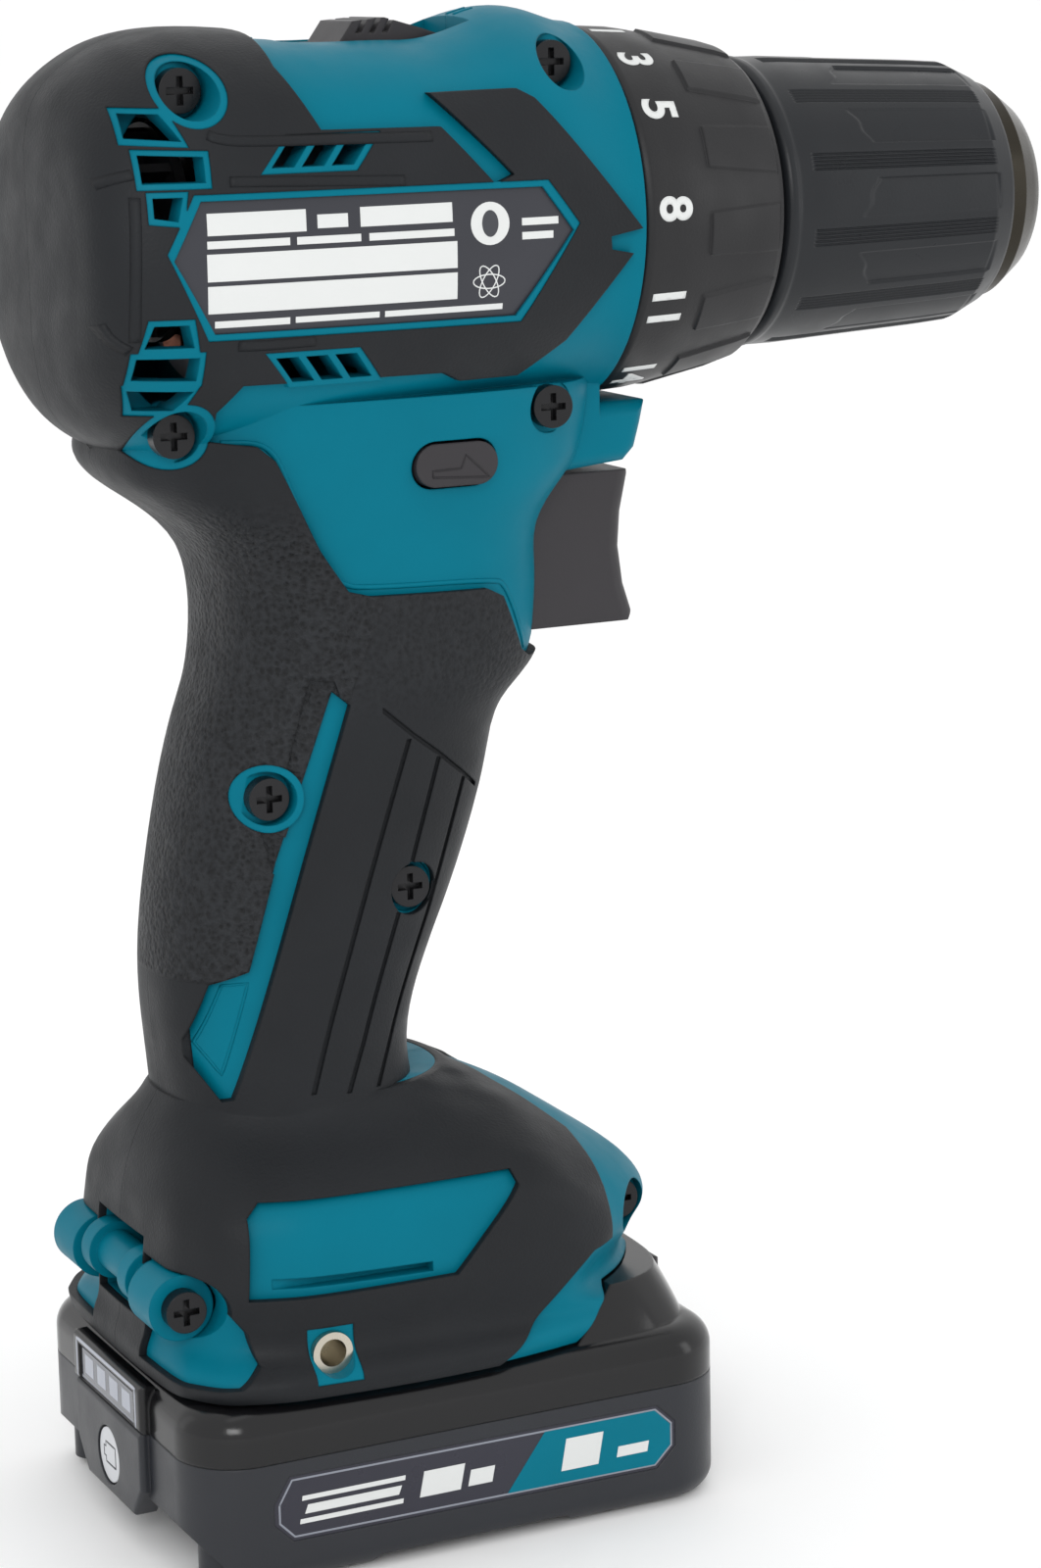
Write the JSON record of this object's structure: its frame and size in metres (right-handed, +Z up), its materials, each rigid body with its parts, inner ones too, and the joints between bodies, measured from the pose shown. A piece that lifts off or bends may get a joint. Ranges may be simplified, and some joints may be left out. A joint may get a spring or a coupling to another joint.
{
  "type": "cordless drill",
  "caption": "Pistol-grip cordless drill with keyless chuck, clutch ring, sliding battery pack under the foot, planetary gearbox and brushless motor",
  "frame": {"origin": "centre of the footprint of the whole drill on the standing surface", "axes": "+X forward along the chuck, +Y the user's left, +Z up"},
  "size_m": [0.1542, 0.0682, 0.2159],
  "materials": {
    "teal_plastic": "fine satin moulded plastic, teal",
    "soft_grip": "matt overmoulded rubber, coarse grain on the back of the handle",
    "plate_film": "dark grey printed film",
    "black_steel": "black oxide",
    "insert_steel": "plated",
    "clear_lens": "moulded clear lens",
    "circuit_board": "solder mask",
    "motor_steel": "laminated steel",
    "copper_wire": "enamelled copper wire",
    "bearing_steel": "ground steel",
    "gear_case_metal": "cast, as machined",
    "gear_steel": "hardened steel, oiled",
    "spring_steel": "drawn wire",
    "black_plastic": "moulded nylon",
    "fan_plastic": "moulded nylon",
    "chuck_steel": "turned steel, dark nickel",
    "jaw_steel": "hardened steel",
    "sleeve_plastic": "satin moulded plastic",
    "ring_plastic": "satin moulded plastic with white numbers",
    "control_plastic": "satin moulded plastic",
    "case_plastic": "satin moulded plastic",
    "cover_plastic": "glossy moulded plastic",
    "label_film": "printed film with a teal end",
    "smoked_window": "tinted window",
    "button_plastic": "white moulded plastic",
    "cell_wrap": "shrink wrap over steel cans",
    "contact_metal": "plated contacts and nickel strips"
  },
  "bodies": {
    "housing": {"housing_right": "teal_plastic", "housing_left": "teal_plastic", "grip_right": "soft_grip", "grip_left": "soft_grip", "rating_plates": "plate_film", "housing_screws": "black_steel", "strap_bar": "teal_plastic", "clip_inserts": "insert_steel", "headlight_lens": "clear_lens", "headlight_board": "circuit_board", "stator_core": "motor_steel", "stator_windings": "copper_wire", "motor_sensor_board": "circuit_board", "motor_bearings": "bearing_steel", "gear_case": "gear_case_metal", "first_ring_gear": "gear_steel", "clutch_cam_ring": "gear_steel", "clutch_balls": "bearing_steel", "clutch_plate": "gear_steel", "clutch_spring": "spring_steel", "spindle_bearing": "bearing_steel", "switch_body": "black_plastic", "controller_board": "circuit_board", "terminal_block": "black_plastic"},
    "output": {"spindle": "gear_steel", "chuck_body": "chuck_steel", "chuck_screw": "black_steel"},
    "chuck_grip": {"chuck_sleeve": "sleeve_plastic", "chuck_nut": "gear_steel"},
    "clutch_adjuster": {"clutch_ring": "ring_plastic", "clutch_nut": "black_plastic"},
    "rotor": {"rotor_shaft": "gear_steel", "rotor_core": "motor_steel", "cooling_fan": "fan_plastic"},
    "carrier": {"first_carrier": "gear_steel"},
    "shifter": {"speed_selector": "control_plastic", "shifting_ring_gear": "gear_steel"},
    "trigger_slide": {"trigger": "control_plastic", "trigger_spring": "spring_steel"},
    "reversing_lever": {"direction_lever": "control_plastic"},
    "battery": {"battery_case": "case_plastic", "battery_cover": "cover_plastic", "battery_labels": "label_film", "gauge_window": "smoked_window", "battery_cells": "cell_wrap", "battery_board": "circuit_board", "battery_contacts": "contact_metal", "case_screws": "black_steel", "latch_spring": "spring_steel"},
    "latch": {"release_latch": "control_plastic"},
    "check_button": {"gauge_button": "button_plastic"},
    "jaw_body_1": {"jaw_1": "jaw_steel"},
    "planet_a1": {"first_planet_1": "gear_steel"},
    "planet_b1": {"second_planet_1": "gear_steel"},
    "jaw_body_2": {"jaw_2": "jaw_steel"},
    "planet_a2": {"first_planet_2": "gear_steel"},
    "planet_b2": {"second_planet_2": "gear_steel"},
    "jaw_body_3": {"jaw_3": "jaw_steel"},
    "planet_a3": {"first_planet_3": "gear_steel"},
    "planet_b3": {"second_planet_3": "gear_steel"}
  },
  "joints": [
    {"name": "chuck_spin", "type": "hinge", "parent": "housing", "child": "output", "pos_m": [0.01, 0, 0.1865], "axis": [1, 0, 0], "continuous": true},
    {"name": "rotor_spin", "type": "hinge", "parent": "housing", "child": "rotor", "pos_m": [-0.045, 0, 0.1865], "axis": [1, 0, 0], "continuous": true},
    {"name": "carrier_spin", "type": "hinge", "parent": "housing", "child": "carrier", "pos_m": [-0.02, 0, 0.1865], "axis": [1, 0, 0], "continuous": true},
    {"name": "planet_a1_spin", "type": "hinge", "parent": "carrier", "child": "planet_a1", "pos_m": [-0.0244, 0, 0.1955], "axis": [1, 0, 0], "continuous": true},
    {"name": "planet_b1_spin", "type": "hinge", "parent": "output", "child": "planet_b1", "pos_m": [-0.0091, 0, 0.1955], "axis": [1, 0, 0], "continuous": true},
    {"name": "planet_a2_spin", "type": "hinge", "parent": "carrier", "child": "planet_a2", "pos_m": [-0.0244, -0.00779, 0.182], "axis": [1, 0, 0], "continuous": true},
    {"name": "planet_b2_spin", "type": "hinge", "parent": "output", "child": "planet_b2", "pos_m": [-0.0091, -0.00779, 0.182], "axis": [1, 0, 0], "continuous": true},
    {"name": "planet_a3_spin", "type": "hinge", "parent": "carrier", "child": "planet_a3", "pos_m": [-0.0244, 0.00779, 0.182], "axis": [1, 0, 0], "continuous": true},
    {"name": "planet_b3_spin", "type": "hinge", "parent": "output", "child": "planet_b3", "pos_m": [-0.0091, 0.00779, 0.182], "axis": [1, 0, 0], "continuous": true},
    {"name": "sleeve_turn", "type": "hinge", "parent": "output", "child": "chuck_grip", "pos_m": [0.05, 0, 0.1865], "axis": [-1, 0, 0], "range_deg": [0, 2160]},
    {"name": "jaw_1_slide", "type": "slide", "parent": "output", "child": "jaw_body_1", "axis": [0.9659, 0, -0.2588], "range_m": [0, 0.0186]},
    {"name": "jaw_2_slide", "type": "slide", "parent": "output", "child": "jaw_body_2", "axis": [0.9659, 0.2241, 0.1294], "range_m": [0, 0.0186]},
    {"name": "jaw_3_slide", "type": "slide", "parent": "output", "child": "jaw_body_3", "axis": [0.9659, -0.2241, 0.1294], "range_m": [0, 0.0186]},
    {"name": "clutch_turn", "type": "hinge", "parent": "housing", "child": "clutch_adjuster", "pos_m": [0.015, 0, 0.1865], "axis": [-1, 0, 0], "range_deg": [0, 190.8]},
    {"name": "speed_shift", "type": "slide", "parent": "housing", "child": "shifter", "axis": [-1, 0, 0], "range_m": [0, 0.0045]},
    {"name": "trigger_pull", "type": "slide", "parent": "housing", "child": "trigger_slide", "axis": [-1, 0, 0], "range_m": [0, 0.006], "stiffness_N_per_m": 700, "springref_m": -0.003},
    {"name": "lever_push", "type": "slide", "parent": "housing", "child": "reversing_lever", "axis": [0, 1, 0], "range_m": [-0.002, 0.002]},
    {"name": "battery_slide", "type": "slide", "parent": "housing", "child": "battery", "axis": [1, 0, 0], "range_m": [0, 0.09]},
    {"name": "latch_press", "type": "slide", "parent": "battery", "child": "latch", "axis": [0, 0, -1], "range_m": [0, 0.0024], "stiffness_N_per_m": 700, "springref_m": -0.002, "deforming": ["latch_spring"]},
    {"name": "button_press", "type": "slide", "parent": "battery", "child": "check_button", "axis": [1, 0, 0], "range_m": [0, 0.0002], "stiffness_N_per_m": 1500, "springref_m": -0.0005}
  ],
  "couplings": [
    {"joint": "rotor_spin", "follows": "chuck_spin", "ratio": 16},
    {"joint": "carrier_spin", "follows": "chuck_spin", "ratio": 4},
    {"joint": "planet_a1_spin", "follows": "chuck_spin", "ratio": -12},
    {"joint": "planet_b1_spin", "follows": "chuck_spin", "ratio": -3},
    {"joint": "planet_a2_spin", "follows": "chuck_spin", "ratio": -12},
    {"joint": "planet_b2_spin", "follows": "chuck_spin", "ratio": -3},
    {"joint": "planet_a3_spin", "follows": "chuck_spin", "ratio": -12},
    {"joint": "planet_b3_spin", "follows": "chuck_spin", "ratio": -3},
    {"joint": "jaw_1_slide", "follows": "sleeve_turn", "m_per_rad": 0.00049338},
    {"joint": "jaw_2_slide", "follows": "sleeve_turn", "m_per_rad": 0.00049338},
    {"joint": "jaw_3_slide", "follows": "sleeve_turn", "m_per_rad": 0.00049338}
  ]
}
